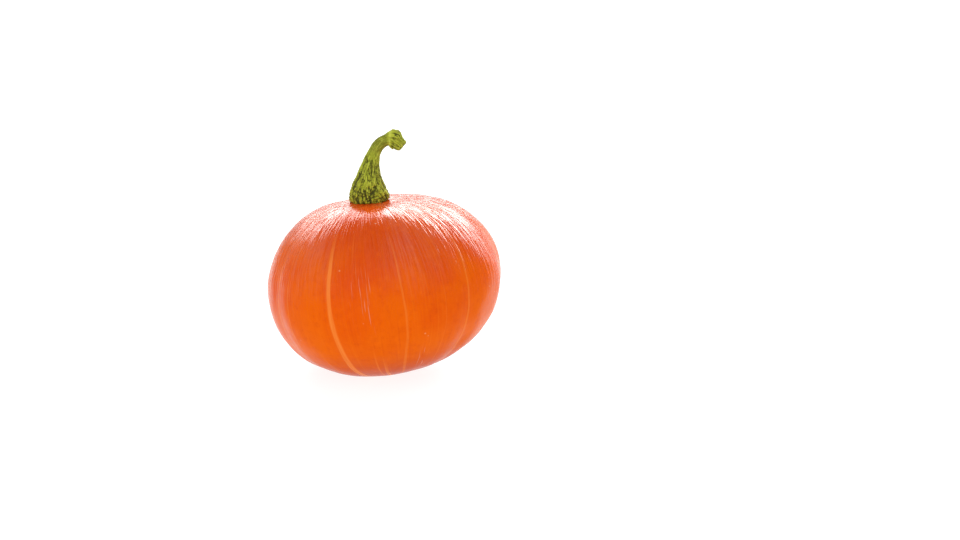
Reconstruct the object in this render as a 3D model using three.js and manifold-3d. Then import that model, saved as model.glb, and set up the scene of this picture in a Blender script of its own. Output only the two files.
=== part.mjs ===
// A whole round pumpkin that rests on a small flat spot, with its cut stem. Millimetres, +Z up.
// The fruit and the stem are made round the fruit's own upright axis, from stem end to blossom end.
// Both are then leaned, the flat spot is cut, and the origin is set under the middle of the pumpkin.
import * as THREE from "three";
import { mergeVertices } from "three/addons/utils/BufferGeometryUtils.js";
import Module from "manifold-3d";

// Driving dimensions: the fruit. Lengths in millimetres, angles in degrees.
const FRUIT_RADIUS = 100; // axis to the widest part of the side
const SHOULDER_RISE = 80.9; // widest part up to the shoulders, before the hollow at the stem
const BASE_DROP = 80; // widest part down to the blossom end, before its hollow
const STEM_HOLLOW_DEPTH = 10.8;
const STEM_HOLLOW_REACH = 48; // radius at which the hollow has faded to about a third
const STEM_HOLLOW_SLANT = 0.07; // how much deeper it is for each millimetre towards +X
const BASE_HOLLOW_DEPTH = 3.8;
const BASE_HOLLOW_REACH = 54;
const BASE_HOLLOW_SLANT = 0.035;
const DIMPLE_DEPTH = 2.4; // the small pit at the blossom end, inside the wide base hollow
const DIMPLE_REACH = 9;
const GROOVE_COUNT = 10;
const GROOVE_DEPTH = 1.2;
const GROOVE_SHARPNESS = 3; // a higher power gives a narrower groove
const FIRST_GROOVE = -80; // angle round the axis from +X
const FULL_SIDE = 0.03; // how much fuller the +X side is, as a share of the radius
const FULL_SHOULDER = 0.018; // the same for its shoulder, taken off below
const LEAN = 7; // the stem end leans towards -X
const FLAT_SPOT_DEPTH = 3.2; // how much of the lowest part is flattened

// Driving dimensions: the stem, from its foot in the hollow to its cut end.
const STEM_GAP = 0.3; // clearance between the foot and the fruit
const STEM_FOOT_RADIUS = 15;
const STEM_FLARE_RADIUS = 17.1; // just above the foot
const STEM_NECK_RADIUS = 4.8; // what it would narrow to if it went on
const STEM_KNOB_RADIUS = 6.2; // the swollen cut end
const FLARE_HEIGHT = 24.8; // how fast the flare narrows to the neck
const FOOT_TUCK_HEIGHT = 1.6; // how fast the foot swells to the flare
const KNOB_LENGTH = 13;
const KNOB_SWELL_LENGTH = 4; // length over which the neck swells to the knob
const KNOB_ROUNDING = 8; // length over which the cut end is rounded off
const KNOB_END_NARROWING = 0.4; // share of its radius that the knob has lost at the cut end
const KNOB_DISH = 1; // the middle of the cut face lies this much deeper
const KNOB_HUMP_HEIGHT = 3; // how much the knob stands out on the outside of the bend
const KNOB_HUMP_BACK = 10.2; // from the cut end back to the middle of the hump
const KNOB_HUMP_REACH = 4.4;
const STEM_RIDGE_COUNT = 5;
const STEM_RIDGE_HEIGHT = 0.5;
const STEM_STRAIGHT = new THREE.Vector3(-1.4, 0, 19.7); // direction and pull of the straight lower part
const STEM_CREST = new THREE.Vector3(10.8, -2, 68.3); // pull of the bend over the top
const STEM_TIP = new THREE.Vector3(33.5, -5, 43.3); // middle of the cut end

// How finely the surfaces are divided.
const FRUIT_COLUMNS = 80;
const FRUIT_ROWS = 34;
const POLE_CROWDING = 0.6; // 0 spaces the rows evenly, 1 crowds them at the ends
const STEM_COLUMNS = 20;
const STEM_ROWS = 30;
const FOOT_RINGS = 3;
const CAP_RINGS = 2;

const UP = new THREE.Vector3(0, 0, 1);
const DEPTH_AXIS = new THREE.Vector3(0, 1, 0);
const FULL_TURN = 2 * Math.PI;
const radians = THREE.MathUtils.degToRad;
const bell = (distance, reach) => Math.exp(-((distance / reach) ** 2));
const plateau = (distance, reach) => Math.exp(-((distance / reach) ** 4));

const wasm = await Module();
wasm.setup();

function toSolid(geometry) {
  const bare = geometry.clone();
  bare.deleteAttribute("normal");
  bare.deleteAttribute("uv");
  const merged = mergeVertices(bare);
  return new wasm.Manifold(
    new wasm.Mesh({
      numProp: 3,
      vertProperties: merged.attributes.position.array,
      triVerts: new Uint32Array(merged.index.array),
    }),
  );
}

function toGeometry(solid) {
  const mesh = solid.getMesh();
  const geometry = new THREE.BufferGeometry();
  geometry.setAttribute("position", new THREE.BufferAttribute(mesh.vertProperties, mesh.numProp));
  geometry.setIndex(new THREE.BufferAttribute(mesh.triVerts, 1));
  geometry.computeVertexNormals();
  return geometry;
}

// A closed surface over rings of points, listed downwards, each counterclockwise seen from above.
function closedSurface(top, rings, bottom) {
  const columns = rings[0].length;
  const points = [top, ...rings.flat(), bottom];
  const last = points.length - 1;
  const at = (row, column) => 1 + row * columns + (column % columns);
  const faces = [];
  for (let column = 0; column < columns; column++) {
    faces.push(0, at(0, column), at(0, column + 1));
    for (let row = 0; row < rings.length - 1; row++) {
      faces.push(at(row, column), at(row + 1, column), at(row + 1, column + 1));
      faces.push(at(row, column), at(row + 1, column + 1), at(row, column + 1));
    }
    faces.push(last, at(rings.length - 1, column + 1), at(rings.length - 1, column));
  }
  const geometry = new THREE.BufferGeometry().setFromPoints(points);
  geometry.setIndex(faces);
  geometry.computeVertexNormals();
  return geometry;
}

function ring(columns, pointAt) {
  return Array.from({ length: columns }, (_, column) => pointAt((column / columns) * FULL_TURN));
}

// The fruit's surface: turn goes round the axis, fall goes from 0 at the stem to PI at the blossom end.
function fruitPoint(turn, fall) {
  const outward = Math.sin(fall);
  const upward = Math.cos(fall);
  const wave = Math.cos(GROOVE_COUNT * (turn - radians(FIRST_GROOVE)));
  const groove = GROOVE_DEPTH * ((1 + wave) / 2) ** GROOVE_SHARPNESS;
  const fullness = FULL_SIDE * outward + FULL_SHOULDER * Math.sin(2 * fall);
  const radius = outward * (FRUIT_RADIUS * (1 + fullness * Math.cos(turn)) - groove);
  const aside = radius * Math.cos(turn);
  return new THREE.Vector3(aside, radius * Math.sin(turn), fruitHeight(aside, outward, upward));
}

function fruitHeight(aside, outward, upward) {
  const reach = FRUIT_RADIUS * outward;
  if (upward > 0) {
    const depth = STEM_HOLLOW_DEPTH + STEM_HOLLOW_SLANT * aside;
    return SHOULDER_RISE * upward - depth * bell(reach, STEM_HOLLOW_REACH) * upward ** 2;
  }
  const depth = BASE_HOLLOW_DEPTH + BASE_HOLLOW_SLANT * aside;
  const pit = DIMPLE_DEPTH * bell(reach, DIMPLE_REACH);
  return BASE_DROP * upward + (depth * bell(reach, BASE_HOLLOW_REACH) + pit) * upward ** 2;
}

function wholeFruit() {
  const rings = [];
  for (let row = 1; row < FRUIT_ROWS; row++) {
    const share = row / FRUIT_ROWS;
    const crowded = share - (POLE_CROWDING * Math.sin(FULL_TURN * share)) / FULL_TURN;
    rings.push(ring(FRUIT_COLUMNS, (turn) => fruitPoint(turn, Math.PI * crowded)));
  }
  return closedSurface(fruitPoint(0, 0), rings, fruitPoint(0, Math.PI));
}

function lean(geometry) {
  return geometry.rotateY(-radians(LEAN));
}

// The leaned fruit, with its lowest part cut level.
function fruitGeometry() {
  const leaned = lean(wholeFruit());
  leaned.computeBoundingBox();
  const floor = leaned.boundingBox.min.z + FLAT_SPOT_DEPTH;
  const side = 4 * FRUIT_RADIUS;
  const ground = new THREE.BoxGeometry(side, side, side).translate(0, 0, floor - side / 2);
  return toGeometry(toSolid(leaned).subtract(toSolid(ground)));
}

const seat = fruitPoint(0, 0).addScaledVector(UP, STEM_GAP);
const stemPath = new THREE.CubicBezierCurve3(
  seat,
  seat.clone().add(STEM_STRAIGHT),
  seat.clone().add(STEM_CREST),
  seat.clone().add(STEM_TIP),
);
const stemLength = stemPath.getLength();

// Radius of the stem at a distance along its path from the seat.
function stemRadius(distance) {
  const flare = (STEM_FLARE_RADIUS - STEM_NECK_RADIUS) * bell(distance, FLARE_HEIGHT);
  const tuck = (STEM_FLARE_RADIUS - STEM_FOOT_RADIUS) * Math.exp(-distance / FOOT_TUCK_HEIGHT);
  const knobStart = stemLength - KNOB_LENGTH;
  const swelling = THREE.MathUtils.smoothstep(distance, knobStart, knobStart + KNOB_SWELL_LENGTH);
  const knob = (STEM_KNOB_RADIUS - STEM_NECK_RADIUS) * swelling;
  const past = Math.max(0, distance - stemLength + KNOB_ROUNDING) / KNOB_ROUNDING;
  return (STEM_NECK_RADIUS + flare - tuck + knob) * (1 - KNOB_END_NARROWING * past ** 2);
}

// A ring round the path: share is the place along it, radius the size, and ahead a push along it.
function stemRing(share, radius, ahead = 0) {
  const middle = stemPath.getPointAt(share);
  const along = stemPath.getTangentAt(share);
  const across = new THREE.Vector3().crossVectors(DEPTH_AXIS, along).normalize();
  const back = new THREE.Vector3().crossVectors(along, across);
  const hump = KNOB_HUMP_HEIGHT * plateau(stemLength * (1 - share) - KNOB_HUMP_BACK, KNOB_HUMP_REACH);
  middle.addScaledVector(along, ahead);
  return ring(STEM_COLUMNS, (turn) => {
    const ridge = STEM_RIDGE_HEIGHT * Math.cos(STEM_RIDGE_COUNT * turn) * share;
    const reach = radius + ridge + hump * Math.max(0, -Math.cos(turn));
    return middle
      .clone()
      .addScaledVector(across, reach * Math.cos(turn))
      .addScaledVector(back, reach * Math.sin(turn));
  });
}

// A ring of the foot's underside, which keeps STEM_GAP from the fruit.
function footRing(radius) {
  const fall = Math.asin(radius / FRUIT_RADIUS);
  return ring(STEM_COLUMNS, (turn) => fruitPoint(turn, fall).addScaledVector(UP, STEM_GAP));
}

function stemGeometry() {
  const rings = [];
  const endRadius = stemRadius(stemLength);
  for (let cap = 1; cap <= CAP_RINGS; cap++) {
    const share = cap / (CAP_RINGS + 1);
    rings.push(stemRing(1, endRadius * share, KNOB_DISH * share));
  }
  for (let row = STEM_ROWS; row > 0; row--) {
    const share = row / STEM_ROWS;
    rings.push(stemRing(share, stemRadius(share * stemLength)));
  }
  for (let foot = FOOT_RINGS; foot > 0; foot--) {
    rings.push(footRing((STEM_FOOT_RADIUS * foot) / FOOT_RINGS));
  }
  return lean(closedSurface(stemPath.getPointAt(1), rings, seat));
}

function piece(name, geometry, colour, roughness) {
  const mesh = new THREE.Mesh(geometry, new THREE.MeshStandardMaterial({ color: colour, roughness }));
  mesh.name = name;
  mesh.material.metalness = 0;
  return mesh;
}

const pumpkin = new THREE.Group();
pumpkin.add(piece("fruit", fruitGeometry(), 0xe85f1c, 0.3));
pumpkin.add(piece("stem", stemGeometry(), 0x8b8f36, 0.8));

// The origin is on the surface that the pumpkin rests on, under the middle of its box.
const box = new THREE.Box3().setFromObject(pumpkin);
const middle = box.getCenter(new THREE.Vector3());
pumpkin.position.set(-middle.x, -middle.y, -box.min.z);

export default pumpkin;
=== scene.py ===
"""A whole round pumpkin: glossy red-orange skin with pale lines, and a curved corky green stem.

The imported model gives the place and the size. The fruit and the stem are remade here as fine meshes
of the same form, with their relief, and each gets its own procedural material. Metres, +Z up.
"""
import math

import bpy
import numpy as np
from mathutils import Matrix, Vector, noise


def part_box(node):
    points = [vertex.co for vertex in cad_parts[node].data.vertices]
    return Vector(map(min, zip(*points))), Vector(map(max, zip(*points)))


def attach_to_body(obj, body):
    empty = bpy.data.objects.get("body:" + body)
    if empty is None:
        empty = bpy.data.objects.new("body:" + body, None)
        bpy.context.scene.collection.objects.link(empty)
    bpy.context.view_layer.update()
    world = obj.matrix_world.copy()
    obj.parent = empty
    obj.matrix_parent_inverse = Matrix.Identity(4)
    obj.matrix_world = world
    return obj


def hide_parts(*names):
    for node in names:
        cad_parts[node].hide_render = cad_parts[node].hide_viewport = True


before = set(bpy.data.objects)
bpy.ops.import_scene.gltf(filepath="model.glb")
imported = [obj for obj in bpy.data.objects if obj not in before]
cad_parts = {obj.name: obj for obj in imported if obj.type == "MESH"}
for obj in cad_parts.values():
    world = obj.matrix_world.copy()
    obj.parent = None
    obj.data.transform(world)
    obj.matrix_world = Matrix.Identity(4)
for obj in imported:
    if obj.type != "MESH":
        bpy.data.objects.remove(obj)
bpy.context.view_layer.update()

MM = 0.001
FULL_TURN = 2 * math.pi

# The fruit's form, as in the design: round its own upright axis, before it leans.
FRUIT_RADIUS = 100 * MM
SHOULDER_RISE = 80.9 * MM
BASE_DROP = 80 * MM
STEM_HOLLOW_DEPTH = 10.8 * MM
STEM_HOLLOW_REACH = 48 * MM
STEM_HOLLOW_SLANT = 0.07
BASE_HOLLOW_DEPTH = 3.8 * MM
BASE_HOLLOW_REACH = 54 * MM
BASE_HOLLOW_SLANT = 0.035
DIMPLE_DEPTH = 2.4 * MM
DIMPLE_REACH = 9 * MM
GROOVE_COUNT = 10
GROOVE_DEPTH = 1.2 * MM
GROOVE_SHARPNESS = 3
FIRST_GROOVE = math.radians(-80)
FULL_SIDE = 0.03
FULL_SHOULDER = 0.018
LEAN = math.radians(7)

# The stem's form, from its foot in the hollow to its cut end.
STEM_FOOT_RADIUS = 15 * MM
STEM_FLARE_RADIUS = 17.1 * MM
STEM_NECK_RADIUS = 4.8 * MM
STEM_KNOB_RADIUS = 6.2 * MM
FLARE_HEIGHT = 24.8 * MM
FOOT_TUCK_HEIGHT = 1.6 * MM
KNOB_LENGTH = 13 * MM
KNOB_SWELL_LENGTH = 4 * MM
KNOB_ROUNDING = 8 * MM
KNOB_END_NARROWING = 0.4
KNOB_DISH = 1.2 * MM
KNOB_HUMP_HEIGHT = 3 * MM
KNOB_HUMP_BACK = 10.2 * MM
KNOB_HUMP_REACH = 4.4 * MM
STEM_STRAIGHT = np.array([-1.4, 0, 19.7]) * MM
STEM_CREST = np.array([10.8, -2, 68.3]) * MM
STEM_TIP = np.array([33.5, -5, 43.3]) * MM

# How finely the surfaces are divided. The fruit's rows crowd a little towards its two ends.
FRUIT_COLUMNS = 440
FRUIT_ROWS = 220
FRUIT_CROWDING = 0.35
STEM_COLUMNS = 200
STEM_ROWS = 360
CUT_RINGS = 24
PATH_SAMPLES = 2001
FORM_SAMPLES = (400, 721)

# The skin's relief: how high each kind stands, and how large or how many its features are.
SWELL_HEIGHT, SWELL_SIZE = 0.8 * MM, 60 * MM
RIPPLE_HEIGHT, RIPPLE_SIZE = 0.25 * MM, 17 * MM
SOFT_RIB_HEIGHT, SOFT_RIB_COUNT = 0.35 * MM, 5
FURROW_HEIGHT, FURROW_COUNT, FURROW_BREAKS = 0.07 * MM, 24, 4.5
PUCKER_HEIGHT, PUCKER_COUNT, PUCKER_PLACE, PUCKER_WIDTH = 0.25 * MM, 23, 19 * MM, 7 * MM
SKIN_COLLAR_HEIGHT, SKIN_COLLAR_PLACE, SKIN_COLLAR_WIDTH = 0.5 * MM, 17 * MM, 2.2 * MM
SCAR_HEIGHT, SCAR_SIZE, SCAR_REACH = 0.7 * MM, 3 * MM, 7 * MM
QUIET_NEAR_STEM = (17 * MM, 38 * MM)
REST_SOFTNESS = 1 * MM

# The cork's ridges: how many there are round the stem, their length in mm, the seed, how narrow the
# cracks beside them are, and how far they wander. Ribs, fibres, warts, beads and facets.
CORK_RIDGES = ((3.1, 20, 12, 5, 0.14), (6.8, 12, 13, 4.2, 0.08), (5.6, 2.7, 14, 4, 0), (9, 1.7, 18, 3.6, 0),
               (3.2, 3.4, 16, 3, 0))
# How far each of them stands out, in mm.
RIB_HEIGHT, FIBRE_HEIGHT, WART_HEIGHT, BEAD_HEIGHT, FACET_HEIGHT = 0.8, 0.5, 0.8, 0.4, 0.75
# Where the parts of the stem begin and end, from its foot.
GNARLED_REACH = 34 * MM
WARTY_FOOT = (9 * MM, 19 * MM)
SMOOTH_NECK = (36 * MM, 44 * MM)
FOOT_EDGE = 2.2 * MM
SEATED_REACH = 9 * MM
FOOT_BELOW_SKIN = 0.5 * MM
# Dents and beads that run round the knob: height in mm, place and width. The notch and the rim are
# placed from the cut end, and the collar from the start of the knob.
NOTCH_DEPTH, NOTCH_BACK, NOTCH_WIDTH = 0.8, 3.8 * MM, 2 * MM
COLLAR_HEIGHT, COLLAR_PLACE, COLLAR_WIDTH = 0.8, 1.4 * MM, 1 * MM
RIM_HEIGHT, RIM_BACK, RIM_WIDTH = 0.4, 1.6 * MM, 1.2 * MM

# The camera: how it sees the pumpkin.
CAMERA_DISTANCE = 1.2
CAMERA_ELEVATION = math.radians(12)
CAMERA_LENS = 52.6
AIM_ASIDE = 81.4 * MM
AIM_ABOVE = 10.3 * MM

# The light: a bright wall behind, a window on its right, and a room that is brightest in front on the left.
# An edge is where a light fades in, as the cosine of the angle from its direction or as a height.
WALL_DIRECTION = (0.04, 0.88, 0.45)
WALL_EDGE = (0.6, 0.93)
WALL_FOOT = (0.18, 0.62)
WALL_TOP = (0.6, 0.84)
WALL_STRENGTH = 6.2
WALL_SHINE = 5.4
WINDOW_DIRECTION = (0.61, 0.7, 0.36)
WINDOW_EDGE = (0.88, 1.0)
WINDOW_STRENGTH = 5.0
ROOM_DIRECTION = (-0.35, -0.93, -0.1)
ROOM_EDGE = (-0.4, 0.8)
ROOM_DIM = 0.42
ROOM_BRIGHT = 1.2

# The floor: its half width, its own grey and its glow.
FLOOR_HALF = 30
FLOOR_GREY = (0.2, 0.2, 0.2, 1)
FLOOR_GLOW = 0.88
WHITE = (1, 1, 1, 1)

# The skin's colours.
DEEP_ORANGE = (0.72, 0.076, 0.001)
BRIGHT_ORANGE = (0.77, 0.112, 0.0008)
RED_BLUSH = (0.64, 0.064, 0.006)
BELLY_ORANGE = (0.77, 0.135, 0.0005)
# Painted shade: the darker red the lower part takes towards the base, where the fruit rests.
PAINTED_UNDERSIDE_SHADE = (0.47, 0.046, 0.002)
DARK_MOTTLE = (0.58, 0.05, 0.003)
LIGHT_MOTTLE = (0.86, 0.15, 0.004)
DARK_STREAK = (0.60, 0.052, 0.002)
LIGHT_THREAD = (0.84, 0.20, 0.01)
PALE_LINE = (0.88, 0.25, 0.04)
CORKY_DASH = (0.85, 0.32, 0.2)
SCAR_EDGE = (0.42, 0.23, 0.08)
SCAR_MIDDLE = (0.09, 0.045, 0.02)
PALE_SPECK = (0.92, 0.50, 0.26)
BLOOM_TINT = (1, 0.8, 0.72, 1)

# The cork's colours.
FOOT_GREEN = (0.38, 0.40, 0.022)
NECK_GREEN = (0.375, 0.43, 0.03)
NECK_SHADE = (0.17, 0.18, 0.012)
KNOB_GREEN = (0.43, 0.46, 0.032)
# Painted highlight: the light band on the knob's collar and on the rim of its cut end.
PAINTED_EDGE_HIGHLIGHT = (0.60, 0.64, 0.09)
LIGHT_STRAND = (0.66, 0.71, 0.09)
DARK_STRAND = (0.13, 0.13, 0.01)
DARK_PATCH = (0.14, 0.135, 0.012)
CUT_FACE = (0.42, 0.38, 0.12)
# Painted shade: the near black that darkens the cork's cracks.
PAINTED_CRACK_SHADE = (0.045, 0.042, 0.005)


# ---------------------------------------------------------------- shape helpers

def bell(distance, reach):
    return np.exp(-((distance / reach) ** 2))


def plateau(distance, reach):
    return np.exp(-((distance / reach) ** 4))


def smoothstep(low, high, value):
    share = np.clip((value - low) / (high - low), 0, 1)
    return share * share * (3 - 2 * share)


def grain(points, seed, octaves=1):
    """Smooth noise, about -1 to 1, at each point. Its features are about one unit across."""
    shift = Vector((17.3 * seed, -9.1 * seed, 5.7 * seed))
    return np.array([noise.fractal(Vector(p) + shift, 0.9, 2.1, octaves) for p in points.reshape(-1, 3)]
                    ).reshape(points.shape[:-1])


def closed_mesh(name, top, rings, bottom):
    """A closed mesh over rings of points, listed downwards, each counterclockwise seen from above."""
    rows, columns = rings.shape[:2]
    points = np.concatenate([[top], rings.reshape(-1, 3), [bottom]])
    index = 1 + np.arange(rows * columns).reshape(rows, columns)
    after = np.roll(index, -1, axis=1)
    sides = np.stack([index[:-1], index[1:], after[1:], after[:-1]], -1).reshape(-1, 4).tolist()
    caps = [[0, int(a), int(b)] for a, b in zip(index[0], after[0])]
    caps += [[len(points) - 1, int(b), int(a)] for a, b in zip(index[-1], after[-1])]
    mesh = bpy.data.meshes.new(name)
    mesh.from_pydata(points.tolist(), [], sides + caps)
    mesh.shade_smooth()
    mesh.update()
    return mesh


def attach(mesh, name, values):
    """Stores one number or one vector a point, for the material to read."""
    kind, field = ("FLOAT", "value") if values.ndim == 1 else ("FLOAT_VECTOR", "vector")
    mesh.attributes.new(name, kind, "POINT").data.foreach_set(field, values.astype(np.float32).ravel())


# ---------------------------------------------------------------- the fruit

def fruit_form(turn, fall):
    """Points of the fruit round its own axis: turn goes round, fall goes from the stem to the base."""
    outward, upward = np.sin(fall), np.cos(fall)
    wave = (1 + np.cos(GROOVE_COUNT * (turn - FIRST_GROOVE))) / 2
    fullness = FULL_SIDE * outward + FULL_SHOULDER * np.sin(2 * fall)
    plain = FRUIT_RADIUS * (1 + fullness * np.cos(turn))
    radius = outward * (plain - GROOVE_DEPTH * wave ** GROOVE_SHARPNESS)
    aside = radius * np.cos(turn)
    reach = FRUIT_RADIUS * outward
    hollow = (STEM_HOLLOW_DEPTH + STEM_HOLLOW_SLANT * aside) * bell(reach, STEM_HOLLOW_REACH)
    base = (BASE_HOLLOW_DEPTH + BASE_HOLLOW_SLANT * aside) * bell(reach, BASE_HOLLOW_REACH)
    base = base + DIMPLE_DEPTH * bell(reach, DIMPLE_REACH)
    above = SHOULDER_RISE * upward - hollow * upward ** 2
    below = BASE_DROP * upward + base * upward ** 2
    return np.stack([aside, radius * np.sin(turn), np.where(upward > 0, above, below)], -1)


def lean(points):
    """Turns points from the fruit's own axis to how the fruit lies."""
    return points @ np.array(Matrix.Rotation(-LEAN, 3, "Y")).T


def fruit_offset():
    """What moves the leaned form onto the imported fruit: its box is centred on it and tops out with it."""
    rows, columns = FORM_SAMPLES
    falls, turns = np.linspace(0, math.pi, rows), np.linspace(0, FULL_TURN, columns)
    fall, turn = np.meshgrid(falls, turns, indexing="ij")
    form = lean(fruit_form(turn, fall).reshape(-1, 3))
    low, high = (np.array(corner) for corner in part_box("fruit"))
    middle = (low + high) / 2 - (form.min(0) + form.max(0)) / 2
    return np.array([middle[0], middle[1], high[2] - form[:, 2].max()])


OFFSET = fruit_offset()


def settle(points):
    """Presses the lowest part softly onto the level surface."""
    height = points[:, 2]
    points[:, 2] = (height + np.sqrt(height ** 2 + REST_SOFTNESS ** 2)) / 2
    return points


def fruit_relief(form, turn, fall):
    """How far the skin stands out from the plain form: slow swells, soft ribs and a puckered collar."""
    reach = np.hypot(form[..., 0], form[..., 1])
    top = np.where(fall < 1, 1, 0)
    clear_of_stem = smoothstep(*QUIET_NEAR_STEM, np.where(fall < 1.5, reach, 1))
    swell = SWELL_HEIGHT * grain(form / SWELL_SIZE, 1, 2) + RIPPLE_HEIGHT * grain(form / RIPPLE_SIZE, 2, 2)
    around = np.stack([np.cos(turn) * SOFT_RIB_COUNT, np.sin(turn) * SOFT_RIB_COUNT, fall], -1)
    ribs = SOFT_RIB_HEIGHT * grain(around, 3) * np.sin(fall)
    fine = np.stack([np.cos(turn) * FURROW_COUNT, np.sin(turn) * FURROW_COUNT, fall * FURROW_BREAKS], -1)
    furrows = FURROW_HEIGHT * grain(fine, 4, 2) * smoothstep(0.3, 0.8, fall) * smoothstep(2.2, 1.0, fall)
    folds = np.cos(PUCKER_COUNT * turn + 2 * np.sin(3 * turn))
    pucker = PUCKER_HEIGHT * folds * bell(reach - PUCKER_PLACE, PUCKER_WIDTH)
    collar = SKIN_COLLAR_HEIGHT * bell(reach - SKIN_COLLAR_PLACE, SKIN_COLLAR_WIDTH)
    scar = SCAR_HEIGHT * grain(form / SCAR_SIZE, 5, 2) * bell(reach, SCAR_REACH) * (1 - top)
    return (swell + ribs + furrows) * clear_of_stem + (pucker + collar) * top + scar


# Pale lines on the skin: angle round the axis in degrees, half width in mm, how plain it is from 0 to 1,
# and the share of the way down at which it begins. There is an even number of them.
PALE_LINES = (
    (-152, 1.1, 0.5, 0.22), (-142, 0.6, 0.45, 0.24), (-128, 0.8, 0.5, 0.6), (-114.5, 2.2, 1.0, 0.22),
    (-97, 0.6, 0.5, 0.6), (-92, 1.1, 0.85, 0.66), (-80, 0.9, 0.42, 0.22), (-60, 0.5, 0.2, 0.2),
    (-45, 1.1, 0.5, 0.2), (-9, 1.8, 0.7, 0.22), (8, 0.6, 0.3, 0.25), (27, 1.3, 0.6, 0.2),
    (40, 1.2, 0.7, 0.62), (48, 0.6, 0.25, 0.2), (63, 2.0, 0.9, 0.22), (80, 0.5, 0.3, 0.2),
    (99, 1.2, 0.5, 0.2), (110, 1.0, 0.6, 0.68), (117, 0.6, 0.25, 0.25), (135, 1.7, 0.75, 0.22),
    (155, 0.5, 0.3, 0.2), (172, 1.2, 0.55, 0.2),
)
# Patches of short corky dashes: angle round the axis in degrees, share of the way down, reach.
SCUFFED = ((-98, 0.47, 0.14), (-70, 0.72, 0.08), (20, 0.45, 0.16), (95, 0.6, 0.2), (160, 0.4, 0.15))
# Where the bloom is rubbed off, under the bend of the stem and on the side, given in the same way.
RUBBED = ((-100, 0.2, 0.5), (-12, 0.47, 0.32))


def pale_lines(turn, fall):
    """Distance to the nearest pale line, in half widths, and how plain that line is there.

    The sign of the distance changes at each line and nowhere else, so it can be read between the points.
    """
    around = np.stack([np.cos(turn), np.sin(turn), 0 * turn], -1)
    climb = np.stack([0 * turn, 0 * turn, fall / math.pi], -1)
    wander = 0.025 * grain(2.2 * around + 5 * climb, 21) + 0.006 * grain(16 * around + 14 * climb, 22)
    angle, half_width, plainness, begins = np.array(PALE_LINES).T
    gap = (turn[:, None] + wander[:, None] - np.radians(angle) + math.pi) % FULL_TURN - math.pi
    nearest = np.abs(gap).argmin(1)
    gap = gap[np.arange(len(turn)), nearest] * FRUIT_RADIUS * np.sin(fall)
    down = fall / math.pi
    width = half_width[nearest] * MM * (0.4 + 1.05 * down)
    begun = smoothstep(begins[nearest], begins[nearest] + 0.16, down)
    return gap * (1 - 2 * (nearest % 2)) / width, plainness[nearest] * begun


def patches(turn, fall, places):
    """1 in the middle of the nearest patch, and 0 outside them all."""
    here = np.stack([np.cos(turn), np.sin(turn), fall / math.pi], -1)
    found = np.zeros(len(turn))
    for angle, down, reach in places:
        centre = (math.cos(math.radians(angle)), math.sin(math.radians(angle)), down)
        away = np.linalg.norm(here - centre, axis=1)
        found = np.maximum(found, 1 - smoothstep(0.4 * reach, reach, away))
    return found


def make_fruit():
    share = np.arange(1, FRUIT_ROWS) / FRUIT_ROWS
    fall = math.pi * (share - FRUIT_CROWDING * np.sin(FULL_TURN * share) / FULL_TURN)
    turn = np.arange(FRUIT_COLUMNS) / FRUIT_COLUMNS * FULL_TURN
    fall_grid, turn_grid = np.meshgrid(fall, turn, indexing="ij")
    turns = np.concatenate([[0], turn_grid.ravel(), [0]])
    falls = np.concatenate([[0], fall_grid.ravel(), [math.pi]])
    form = fruit_form(turns, falls)
    outward = form / np.linalg.norm(form, axis=1)[:, None]
    points = form + outward * fruit_relief(form, turns, falls)[:, None]
    points = settle(lean(points) + OFFSET)
    rings = points[1:-1].reshape(len(fall), FRUIT_COLUMNS, 3)
    mesh = closed_mesh("pumpkin_fruit", points[0], rings, points[-1])
    attach(mesh, "growth", np.stack([np.cos(turns), np.sin(turns), falls / math.pi], -1))
    attach(mesh, "line", np.stack([*pale_lines(turns, falls), 0 * turns], -1))
    attach(mesh, "scuffed", patches(turns, falls, SCUFFED))
    attach(mesh, "rubbed", patches(turns, falls, RUBBED))
    return bpy.data.objects.new("pumpkin_fruit", mesh)


# ---------------------------------------------------------------- the stem

def stem_path(rows):
    """Evenly spaced places on the stem's middle line, with their directions and their distances."""
    seat = fruit_form(np.array(0.0), np.array(0.0))
    pulls = (seat, seat + STEM_STRAIGHT, seat + STEM_CREST, seat + STEM_TIP)
    share = np.linspace(0, 1, PATH_SAMPLES)[:, None]
    weights = ((1 - share) ** 3, 3 * (1 - share) ** 2 * share, 3 * (1 - share) * share ** 2, share ** 3)
    fine = sum(weight * pull for weight, pull in zip(weights, pulls))
    run = np.concatenate([[0], np.cumsum(np.linalg.norm(np.diff(fine, axis=0), axis=1))])
    distance = np.linspace(0, run[-1], rows)
    place = np.stack([np.interp(distance, run, fine[:, i]) for i in range(3)], -1)
    along = np.gradient(place, axis=0)
    along /= np.linalg.norm(along, axis=1)[:, None]
    return place, along, distance


def stem_radius(distance, length):
    flare = (STEM_FLARE_RADIUS - STEM_NECK_RADIUS) * bell(distance, FLARE_HEIGHT)
    tuck = (STEM_FLARE_RADIUS - STEM_FOOT_RADIUS) * np.exp(-distance / FOOT_TUCK_HEIGHT)
    knob_start = length - KNOB_LENGTH
    swelling = smoothstep(knob_start, knob_start + KNOB_SWELL_LENGTH, distance)
    knob = (STEM_KNOB_RADIUS - STEM_NECK_RADIUS) * swelling
    past = np.clip((distance - length + KNOB_ROUNDING) / KNOB_ROUNDING, 0, 1)
    return (STEM_NECK_RADIUS + flare - tuck + knob) * (1 - KNOB_END_NARROWING * past ** 2)


def cork_ridges(around, climb, kind):
    """Ridges of one kind, from 0 at the bottom of a crack to 1 on top."""
    count, length, seed, narrowness, wander = kind
    bend = wander * grain(around * 2 + climb / 8, seed + 40)[..., None] * np.array([1, -1, 0])
    ridges = np.abs(grain((around + bend) * count + climb / length, seed))
    return np.clip(ridges * narrowness, 0, 1)


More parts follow.
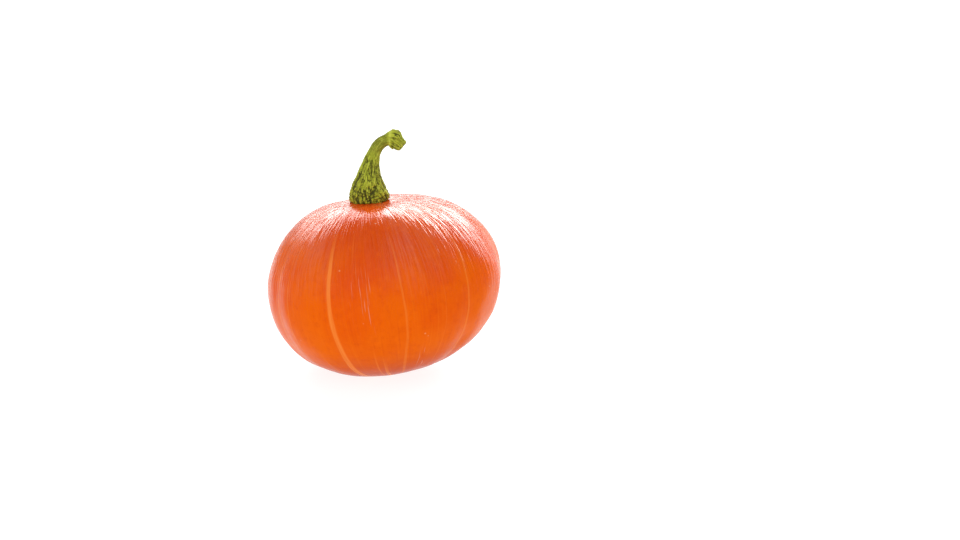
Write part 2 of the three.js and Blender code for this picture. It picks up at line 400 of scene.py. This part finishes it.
def knob_features(turn, distance, length):
    """The crest's hump, the notch before the cut end, the collar and the rim, in mm."""
    outer = smoothstep(0.1, 1, -np.cos(turn))
    from_end = distance - length
    hump = KNOB_HUMP_HEIGHT / MM * plateau(from_end + KNOB_HUMP_BACK, KNOB_HUMP_REACH) * outer
    notch = NOTCH_DEPTH * bell(from_end + NOTCH_BACK, NOTCH_WIDTH) * outer
    collar = COLLAR_HEIGHT * bell(from_end + KNOB_LENGTH - COLLAR_PLACE, COLLAR_WIDTH)
    rim = RIM_HEIGHT * bell(from_end + RIM_BACK, RIM_WIDTH)
    return hump - notch + collar + rim


def stem_relief(turn, distance, length, inward):
    """How far the cork stands out, and how open it is from 0 at the bottom of a crack to 1 on a ridge.

    inward is 1 on the side of the stem and falls to 0 at the middle of the cut face.
    """
    around = np.stack([np.cos(turn) * inward, np.sin(turn) * inward, 0 * turn], -1)
    climb = np.stack([0 * turn, 0 * turn, distance / MM], -1)
    ribs, fibres, warts, beads, facets = (cork_ridges(around, climb, kind) for kind in CORK_RIDGES)
    lumps = grain(around * 1.6 + climb / 7, 15, 2)
    crumbs = grain(around * 17 + climb / 1.1, 17, 2)

    low = bell(distance, GNARLED_REACH)
    foot = 1 - smoothstep(*WARTY_FOOT, distance)
    knob = smoothstep(length - KNOB_LENGTH, length - KNOB_LENGTH + KNOB_SWELL_LENGTH, distance)
    rough = 1 - 0.75 * smoothstep(*SMOOTH_NECK, distance) * (1 - knob)
    relief = (RIB_HEIGHT * ribs * rough + FIBRE_HEIGHT * fibres * rough * (1 - 0.4 * foot)
              + WART_HEIGHT * warts * foot + BEAD_HEIGHT * beads * (0.4 + 0.6 * low) * rough
              + FACET_HEIGHT * facets * knob + lumps * (0.3 + 0.55 * foot + 0.55 * knob)
              + 0.13 * crumbs * rough + knob_features(turn, distance, length) - bell(distance, FOOT_EDGE))
    middle = 1.1 * rough + 0.45 * foot + 0.4 * knob
    gaps = ((1 - ribs) * rough * (0.3 + 0.5 * low) * (1 - 0.7 * knob) + 0.8 * (1 - fibres) * rough
            + 0.6 * (1 - warts) * foot + 0.5 * (1 - beads) * rough + 0.3 * (1 - facets) * knob)
    return (relief - middle) * MM, np.clip(1 - gaps, 0, 1)


def fruit_top(points):
    """Height of the fruit's own surface under points near its axis."""
    fall = np.arcsin(np.clip(np.hypot(points[..., 0], points[..., 1]) / FRUIT_RADIUS, 0, 0.9))
    return fruit_form(np.arctan2(points[..., 1], points[..., 0]), fall)[..., 2]


def stem_rings():
    """Place, direction, distance from the foot and inward share of every ring, the cut face's last."""
    place, along, distance = stem_path(STEM_ROWS)
    cut = np.linspace(1, 0, CUT_RINGS + 1)[1:-1]
    place = np.concatenate([place, np.repeat(place[-1:], len(cut), 0)])
    along = np.concatenate([along, np.repeat(along[-1:], len(cut), 0)])
    distance = np.concatenate([distance, np.repeat(distance[-1:], len(cut), 0)])
    return place, along, distance, np.concatenate([np.ones(STEM_ROWS), cut])


def make_stem():
    place, along, distance, inward = stem_rings()
    length = distance[-1]
    across = np.cross([0, 1, 0], along)
    across /= np.linalg.norm(across, axis=1)[:, None]
    back = np.cross(along, across)

    turns = np.arange(STEM_COLUMNS) / STEM_COLUMNS * FULL_TURN
    turn = np.broadcast_to(turns, (len(distance), STEM_COLUMNS))
    far, share = (np.broadcast_to(values[:, None], turn.shape) for values in (distance, inward))
    relief, cracks = stem_relief(turn, far, length, share)
    radius = (stem_radius(far, length) + np.where(share < 1, relief[STEM_ROWS - 1], relief)) * share
    dish = (KNOB_DISH * (share - 1) + 0.5 * relief) * smoothstep(1, 0.85, share)
    points = (place[:, None] + across[:, None] * (radius * np.cos(turn))[..., None]
              + back[:, None] * (radius * np.sin(turn))[..., None] + along[:, None] * dish[..., None])
    seated = 1 - smoothstep(0, SEATED_REACH, far)
    points[..., 2] += seated * (fruit_top(points) - place[0, 2] - FOOT_BELOW_SKIN)

    rings = points[::-1]
    tip, under = points[-1].mean(0), place[0] - [0, 0, 1 * MM]
    flat = lean(np.concatenate([[tip], rings.reshape(-1, 3), [under]])) + OFFSET
    mesh = closed_mesh("pumpkin_stem", flat[0], flat[1:-1].reshape(rings.shape), flat[-1])

    def per_point(values, first, last):
        return np.concatenate([[first], values[::-1].ravel(), [last]])

    attach(mesh, "cracks", per_point(cracks, 1, 0))
    attach(mesh, "height", per_point(far / length, 1, 0))
    attach(mesh, "cut_face", per_point(1 - share, 1, 0))
    fibre = np.stack([np.cos(turn) * share, np.sin(turn) * share, far / length], -1)[::-1].reshape(-1, 3)
    attach(mesh, "fibre", np.concatenate([[[0, 0, 1]], fibre, [[0, 0, 0]]]))
    return bpy.data.objects.new("pumpkin_stem", mesh)


# ---------------------------------------------------------------- material helpers

class Value:
    """A node's output inside a material, so that shader maths reads as Python expressions."""

    def __init__(self, paint, socket):
        self.paint, self.socket = paint, socket

    def _math(self, operation, *values):
        return self.paint.node("ShaderNodeMath", {"operation": operation}, dict(enumerate(values)))

    def __add__(self, other):
        return self._math("ADD", self, other)

    __radd__ = __add__

    def __sub__(self, other):
        return self._math("SUBTRACT", self, other)

    def __rsub__(self, other):
        return self._math("SUBTRACT", other, self)

    def __mul__(self, other):
        return self._math("MULTIPLY", self, other)

    __rmul__ = __mul__

    def __abs__(self):
        return self._math("ABSOLUTE", self)

    def highest(self, other):
        return self._math("MAXIMUM", self, other)


class Paint:
    """A material or world being made: every node comes from node()."""

    def __init__(self, owner):
        self.owner = owner
        owner.use_nodes = True
        self.tree = owner.node_tree
        self.tree.nodes.clear()

    def node(self, kind, settings, sockets, result=0):
        """Adds a node, sets its settings, then its sockets' values or links, and gives one output."""
        made = self.tree.nodes.new(kind)
        for name, value in settings.items():
            setattr(made, name, value)
        for key, value in sockets.items():
            socket = self._find(made.inputs, key)
            if isinstance(value, Value):
                self.tree.links.new(value.socket, socket)
            else:
                socket.default_value = value
        return Value(self, self._find(made.outputs, result)) if made.outputs else None

    @staticmethod
    def _find(sockets, key):
        if isinstance(key, int):
            return sockets[key]
        return next(s for s in sockets if s.identifier == key or (s.name == key and s.enabled))

    def attribute(self, name, result="Vector"):
        return self.node("ShaderNodeAttribute", {"attribute_name": name}, {}, result)

    def noise(self, vector, factors, detail=0.0, roughness=0.5):
        """Noise from 0 to 1 that varies as often as the factors say in one unit of the vector."""
        scaled = self.node("ShaderNodeVectorMath", {"operation": "MULTIPLY"}, {0: vector, 1: factors})
        sockets = {"Vector": scaled, "Scale": 1.0, "Detail": detail, "Roughness": roughness}
        return self.node("ShaderNodeTexNoise", {}, sockets)

    def ramp(self, value, low, high, start=0.0, end=1.0):
        """Goes smoothly from start to end while value goes from low to high."""
        sockets = {"Value": value, "From Min": low, "From Max": high, "To Min": start, "To Max": end}
        return self.node("ShaderNodeMapRange", {"interpolation_type": "SMOOTHSTEP"}, sockets)

    def dot(self, vector, direction):
        settings = {"operation": "DOT_PRODUCT"}
        return self.node("ShaderNodeVectorMath", settings, {0: vector, 1: direction}, "Value")

    def mix(self, share, first, second):
        """Mixes two colours, each a Value or a tuple."""
        below, above = (c if isinstance(c, Value) else (*c, 1) for c in (first, second))
        sockets = {"Factor_Float": share, "A_Color": below, "B_Color": above}
        return self.node("ShaderNodeMix", {"data_type": "RGBA"}, sockets, "Result_Color")

    def bump(self, height, distance):
        return self.node("ShaderNodeBump", {}, {"Strength": 1.0, "Distance": distance, "Height": height})

    def principled(self, sockets):
        return self.node("ShaderNodeBsdfPrincipled", {}, sockets)

    def finish(self, shader):
        """Makes the shader the material's surface, and gives the material."""
        self.node("ShaderNodeOutputMaterial", {}, {"Surface": shader})
        return self.owner


# ---------------------------------------------------------------- the skin's material

def skin_material():
    """Waxy skin that is glossy where the bloom lies, on the shoulder and at the rim, and plain below."""
    paint = Paint(bpy.data.materials.new("waxy_orange_skin"))
    growth = paint.attribute("growth")
    down = paint.dot(growth, (0, 0, 1))
    place = paint.node("ShaderNodeTexCoord", {}, {}, "Object")

    def streaks(around, along, detail):
        """Noise drawn out from the stem to the base."""
        return paint.noise(growth, (around, around, along), detail)

    clouds = paint.noise(place, (22, 22, 22), 2.0)
    blush = paint.ramp(down + (clouds - 0.5) * 0.35, 0.12, 0.5, 1.0, 0.0)
    colour = paint.mix(paint.ramp(clouds, 0.3, 0.7), DEEP_ORANGE, BRIGHT_ORANGE)
    colour = paint.mix(blush * 0.7, colour, RED_BLUSH)
    colour = paint.mix(paint.ramp(down, 0.45, 0.75) * 0.7, colour, BELLY_ORANGE)
    # Painted shade: the lower part darkens towards the base, where the fruit rests.
    colour = paint.mix(paint.ramp(down, 0.64, 0.84) * 0.9, colour, PAINTED_UNDERSIDE_SHADE)

    mottle = paint.noise(place, (190, 190, 190), 3.0, 0.65)
    colour = paint.mix(paint.ramp(mottle, 0.5, 0.72) * 0.24, colour, DARK_MOTTLE)
    colour = paint.mix(paint.ramp(mottle, 0.28, 0.46, 1.0, 0.0) * 0.22, colour, LIGHT_MOTTLE)
    colour = paint.mix(paint.ramp(streaks(38, 5, 3.0), 0.5, 0.8) * 0.3, colour, DARK_STREAK)
    colour = paint.mix(paint.ramp(streaks(75, 4, 2.0), 0.56, 0.75) * 0.16, colour, LIGHT_THREAD)

    line = paint.attribute("line")
    lines = paint.ramp(abs(paint.dot(line, (1, 0, 0))), 0.6, 1.35, 1.0, 0.0) * paint.dot(line, (0, 1, 0))
    lines = lines * paint.ramp(streaks(30, 9, 2.0), 0.2, 0.6, 0.55, 1.0)
    colour = paint.mix(lines * 0.66, colour, PALE_LINE)

    dashes = paint.ramp(streaks(95, 11, 1.0), 0.6, 0.72) * paint.attribute("scuffed", "Fac")
    colour = paint.mix(dashes * 0.45, colour, CORKY_DASH)

    from_base = (1.0 - down) + 0.012 * (paint.noise(place, (350, 350, 350), 2.0) - 0.5)
    colour = paint.mix(paint.ramp(from_base, 0.016, 0.03, 0.85, 0.0), colour, SCAR_EDGE)
    colour = paint.mix(paint.ramp(from_base, 0.004, 0.012, 0.85, 0.0), colour, SCAR_MIDDLE)

    cells = {"Vector": place, "Scale": 95.0, "Randomness": 1.0}
    specks = paint.node("ShaderNodeTexVoronoi", {}, cells, "Distance")
    rare = paint.ramp(paint.noise(place, (60, 60, 60)), 0.56, 0.62)
    dots = paint.ramp(specks, 0.05, 0.1, 1.0, 0.0) * rare
    colour = paint.mix(dots * 0.35, colour, PALE_SPECK)

    ridges = 0.75 * streaks(46, 16, 1.0) + 0.4 * streaks(25, 7, 1.0)
    on_shoulder = paint.ramp(down, 0.34, 0.62, 1.6, 0.2) * paint.ramp(down, 0.03, 0.2, 0.3, 1.0)
    pores = paint.noise(place, (950, 950, 950), 1.0)
    height = ridges * on_shoulder + pores * 0.14 - dashes * 0.3 - dots * 0.2 + lines * 0.15
    looks = {
        "Base Color": colour,
        "Roughness": 0.16 + 0.09 * streaks(50, 6, 2.0) + 0.08 * lines + 0.15 * dashes,
        "Normal": paint.bump(height, 0.6 * MM),
    }
    sheen = {"Sheen Weight": 0.15, "Sheen Roughness": 0.18, "Sheen Tint": BLOOM_TINT}
    waxy = paint.principled({**looks, **sheen, "Specular IOR Level": 0.8})
    plain = paint.principled({**looks, "Specular IOR Level": 0.03})

    bloom = paint.ramp(down + (clouds - 0.5) * 0.12, 0.22, 0.52, 1.0, 0.0)
    brushed = paint.ramp(streaks(62, 9, 2.0), 0.38, 0.6, 0.25, 1.0)
    rubbed = paint.attribute("rubbed", "Fac")
    facing = paint.node("ShaderNodeLayerWeight", {}, {"Blend": 0.5}, "Facing")
    rim = paint.ramp(facing, 0.45, 0.7, 0.0, 0.4) * paint.ramp(down, 0.55, 0.72, 1.0, 0.0)
    gloss = (bloom * brushed).highest(rim) * (1.0 - rubbed * 0.8)
    return paint.finish(paint.node("ShaderNodeMixShader", {}, {0: 1.0 - gloss, 1: waxy, 2: plain}))


# ---------------------------------------------------------------- the cork's material

def cork_material():
    """Matt cork with light and dark strands, painted shade in its cracks and on the neck under the knob,
    painted highlights on its collar and rim, and browner on the cut face.
    """
    paint = Paint(bpy.data.materials.new("corky_green_stem"))
    fibre = paint.attribute("fibre")
    cracks = paint.attribute("cracks", "Fac")
    height = paint.attribute("height", "Fac")
    cut_face = paint.attribute("cut_face", "Fac")
    place = paint.node("ShaderNodeTexCoord", {}, {}, "Object")

    mottle = paint.noise(place, (260, 260, 260), 3.0, 0.6)
    strands = paint.noise(fibre, (7, 7, 13), 3.0, 0.65)
    colour = paint.mix(paint.ramp(height, 0.0, 0.5), FOOT_GREEN, NECK_GREEN)
    neck = paint.ramp(height, 0.5, 0.68) * paint.ramp(height, 0.79, 0.83, 1.0, 0.0)
    colour = paint.mix(neck * 0.8, colour, NECK_SHADE)
    colour = paint.mix(paint.ramp(height, 0.8, 0.84) * 0.7, colour, KNOB_GREEN)
    # Painted highlights: light bands along the collar and the rim, where the beads catch the light.
    collar = paint.ramp(abs(height - 0.835), 0.006, 0.018, 1.0, 0.0)
    rim = paint.ramp(abs(height - 0.975), 0.004, 0.016, 1.0, 0.0)
    colour = paint.mix(collar.highest(rim) * 0.55, colour, PAINTED_EDGE_HIGHLIGHT)
    colour = paint.mix(paint.ramp(strands, 0.5, 0.64) * 0.6, colour, LIGHT_STRAND)
    colour = paint.mix(paint.ramp(strands, 0.36, 0.46, 1.0, 0.0) * 0.5, colour, DARK_STRAND)
    colour = paint.mix(paint.ramp(mottle, 0.5, 0.66) * 0.5, colour, DARK_PATCH)
    colour = paint.mix(paint.ramp(cut_face, 0.0, 0.6) * 0.6, colour, CUT_FACE)
    # Painted shade: the cracks are darkened, most at the bottom of each crack.
    colour = paint.mix(paint.ramp(cracks, -0.1, 0.75, 0.95, 0.0), colour, PAINTED_CRACK_SHADE)
    grit = paint.noise(place, (900, 900, 900), 2.0)
    return paint.finish(paint.principled({
        "Base Color": colour,
        "Roughness": 0.62 + 0.25 * mottle,
        "Specular IOR Level": 0.2,
        "Normal": paint.bump(strands * 0.7 + grit * 0.3, 0.8 * MM),
    }))


# ---------------------------------------------------------------- floor, camera and light

def add(data, name):
    made = bpy.data.objects.new(name, data)
    bpy.context.scene.collection.objects.link(made)
    return made


def make_floor():
    corners = [(FLOOR_HALF * x, FLOOR_HALF * y, 0) for x, y in ((-1, -1), (1, -1), (1, 1), (-1, 1))]
    mesh = bpy.data.meshes.new("floor")
    mesh.from_pydata(corners, [], [(0, 1, 2, 3)])
    paint = Paint(bpy.data.materials.new("pale_floor"))
    grime = paint.noise(paint.node("ShaderNodeTexCoord", {}, {}, "Object"), (40, 40, 40), 2.0)
    mesh.materials.append(paint.finish(paint.principled({
        "Base Color": FLOOR_GREY,
        "Roughness": 0.7 + 0.1 * grime,
        "Emission Color": WHITE,
        "Emission Strength": FLOOR_GLOW,
    })))
    add(mesh, "floor")


def place_camera():
    """Sees the pumpkin from its front and a little from above, left of the middle of the view."""
    low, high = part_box("fruit")
    target = (low + high) / 2
    backwards = Vector((0, -math.cos(CAMERA_ELEVATION), math.sin(CAMERA_ELEVATION)))
    right = Vector((1, 0, 0))
    place = target + CAMERA_DISTANCE * backwards
    aim = target + AIM_ASIDE * right + AIM_ABOVE * backwards.cross(right)
    camera = add(bpy.data.cameras.new("camera"), "camera")
    camera.data.lens = CAMERA_LENS
    camera.location = place
    camera.rotation_euler = (aim - place).to_track_quat("-Z", "Y").to_euler()
    bpy.context.scene.camera = camera


def light_studio():
    """A white studio: a bright wall behind, a dimmer room in front, and plain white where it is seen.

    The skin mirrors the wall more strongly than the wall lights it.
    """
    world = bpy.data.worlds.new("studio")
    bpy.context.scene.world = world
    paint = Paint(world)
    seen = paint.node("ShaderNodeLightPath", {}, {}, "Is Camera Ray")
    towards = paint.node("ShaderNodeTexCoord", {}, {}, "Generated")
    up = paint.dot(towards, (0, 0, 1))
    backward = paint.ramp(paint.dot(towards, WALL_DIRECTION), *WALL_EDGE)
    wall = backward * paint.ramp(up, *WALL_FOOT) * paint.ramp(up, *WALL_TOP, 1.0, 0.0)
    window = paint.ramp(paint.dot(towards, WINDOW_DIRECTION), *WINDOW_EDGE)
    room = paint.ramp(paint.dot(towards, ROOM_DIRECTION), *ROOM_EDGE, ROOM_DIM, ROOM_BRIGHT)
    mirrored = paint.node("ShaderNodeLightPath", {}, {}, "Is Glossy Ray")
    light = room + wall * (WALL_STRENGTH + WALL_SHINE * mirrored) + window * WINDOW_STRENGTH
    glow = paint.node("ShaderNodeBackground", {}, {"Color": WHITE, "Strength": light})
    white = paint.node("ShaderNodeBackground", {}, {"Color": WHITE, "Strength": 1.0})
    shown = paint.node("ShaderNodeMixShader", {}, {0: seen, 1: glow, 2: white})
    paint.node("ShaderNodeOutputWorld", {}, {"Surface": shown})


fruit = make_fruit()
stem = make_stem()
fruit.data.materials.append(skin_material())
stem.data.materials.append(cork_material())
for piece, node, slot in ((fruit, "fruit", "fruit_skin"), (stem, "stem", "stem_cork")):
    bpy.context.scene.collection.objects.link(piece)
    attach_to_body(piece, "root")
    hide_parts(node)
make_floor()
place_camera()
light_studio()
bpy.context.scene.view_settings.view_transform = "Standard"
